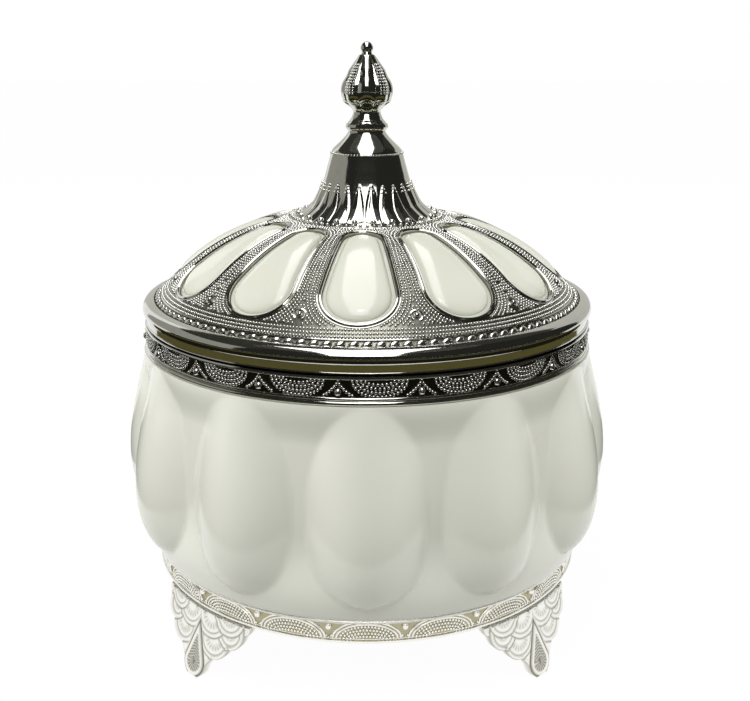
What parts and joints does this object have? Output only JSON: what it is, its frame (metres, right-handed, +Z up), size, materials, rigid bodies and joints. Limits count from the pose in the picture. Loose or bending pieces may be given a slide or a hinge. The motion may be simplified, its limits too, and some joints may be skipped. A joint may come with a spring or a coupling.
{
  "type": "storage jar",
  "caption": "Lobed white porcelain jar with a metal rim collar, base ring and cast feet, and a pierced metal lid with white petals and a bud finial that lifts off",
  "frame": {"origin": "centre of the footprint on the floor under the four feet", "axes": "Z up along the jar's axis, -Y towards the front of the picture, X to the right"},
  "size_m": [0.1568, 0.1568, 0.1819],
  "materials": {
    "white_porcelain": "clear high gloss glaze over warm white porcelain",
    "plated_zinc": "cast metal, bright nickel plating, fine beaded relief",
    "ivory_liner": "smooth glossy ivory moulding",
    "rivet_steel": "bright plated steel",
    "cement": "matt plaster cement",
    "clear_silicone": "translucent soft silicone"
  },
  "bodies": {
    "jar": {"porcelain_bowl": "white_porcelain", "rim_collar": "plated_zinc", "base_ring": "plated_zinc", "foot_front_left": "plated_zinc", "foot_front_right": "plated_zinc", "foot_back_left": "plated_zinc", "foot_back_right": "plated_zinc", "foot_rivets": "rivet_steel", "collar_cement": "cement", "base_cement": "cement"},
    "seal": {"lid_seal": "clear_silicone"},
    "lid": {"lid_dome": "plated_zinc", "lid_liner": "ivory_liner", "locating_ring": "ivory_liner", "finial": "plated_zinc", "lid_stud": "rivet_steel", "stud_washer": "rivet_steel", "stud_nut": "rivet_steel"}
  },
  "joints": [
    {"name": "lid_lift", "type": "slide", "parent": "jar", "child": "seal", "axis": [0, 0, 1], "range_m": [0, 0.06]},
    {"name": "lid_turn", "type": "hinge", "parent": "seal", "child": "lid", "pos_m": [0, 0, 0.1], "axis": [0, 0, 1], "continuous": true}
  ]
}
